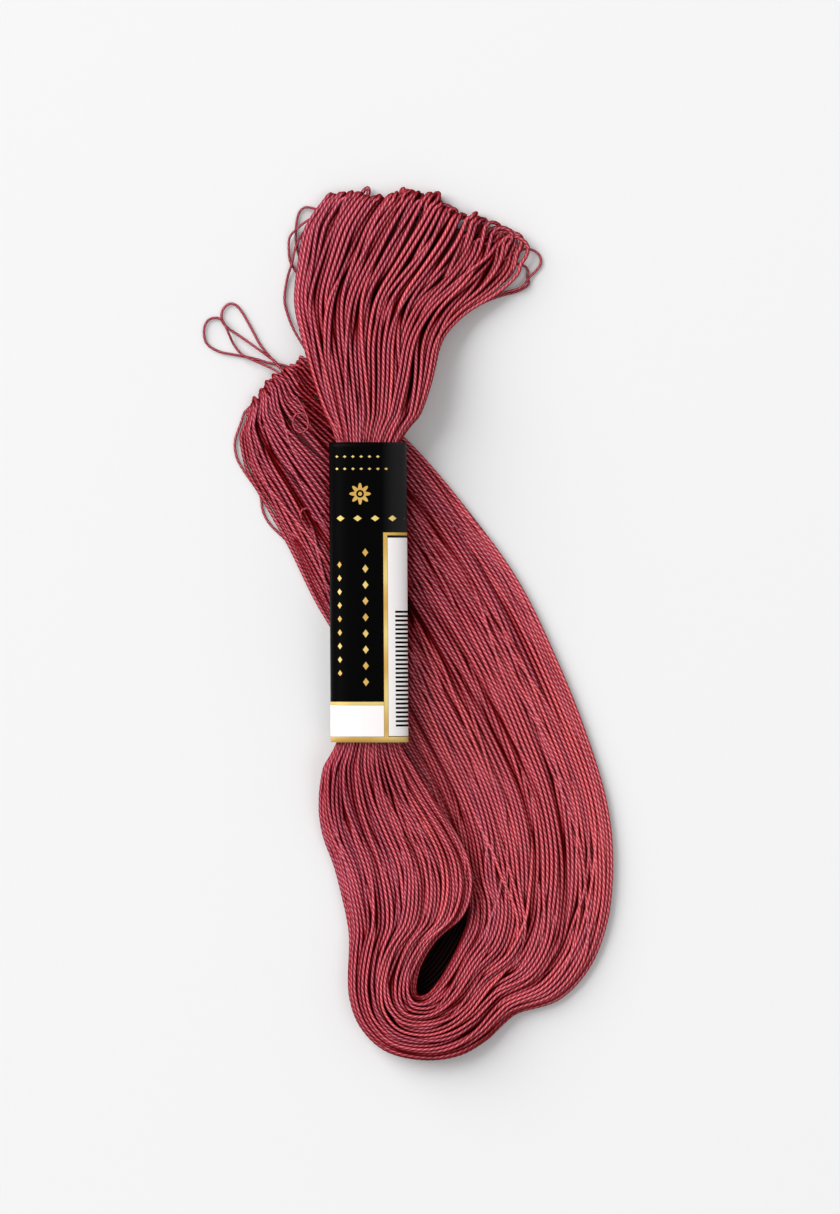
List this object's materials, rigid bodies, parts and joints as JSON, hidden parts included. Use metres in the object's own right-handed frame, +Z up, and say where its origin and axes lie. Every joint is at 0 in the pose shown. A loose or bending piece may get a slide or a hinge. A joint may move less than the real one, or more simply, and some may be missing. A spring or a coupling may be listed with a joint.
{
  "type": "folded skein of embroidery floss with a paper sleeve",
  "caption": "Long flat hank of dusty rose two-ply cotton floss, folded once so that one arm crosses the other, with loops open at both ends and a narrow printed paper sleeve.",
  "frame": {"origin": "on the surface the skein lies on, under the middle of its box", "axes": "+Y along the skein towards the open loops of the upper arm, +X towards the wide fan of the lower arm, +Z up from the surface"},
  "size_m": [0.0472, 0.1, 0.0064],
  "materials": {
    "floss": "dusty rose twisted cotton, softly lustrous",
    "label": "black satin printed paper with gold rules and plain white panels"
  },
  "bodies": {
    "root": {"hank": "floss", "label_sleeve": "label", "stray_loops_tail": "floss", "stray_loop_head_left": "floss", "stray_loop_head_left_long": "floss", "stray_loop_head_right": "floss"}
  },
  "joints": []
}
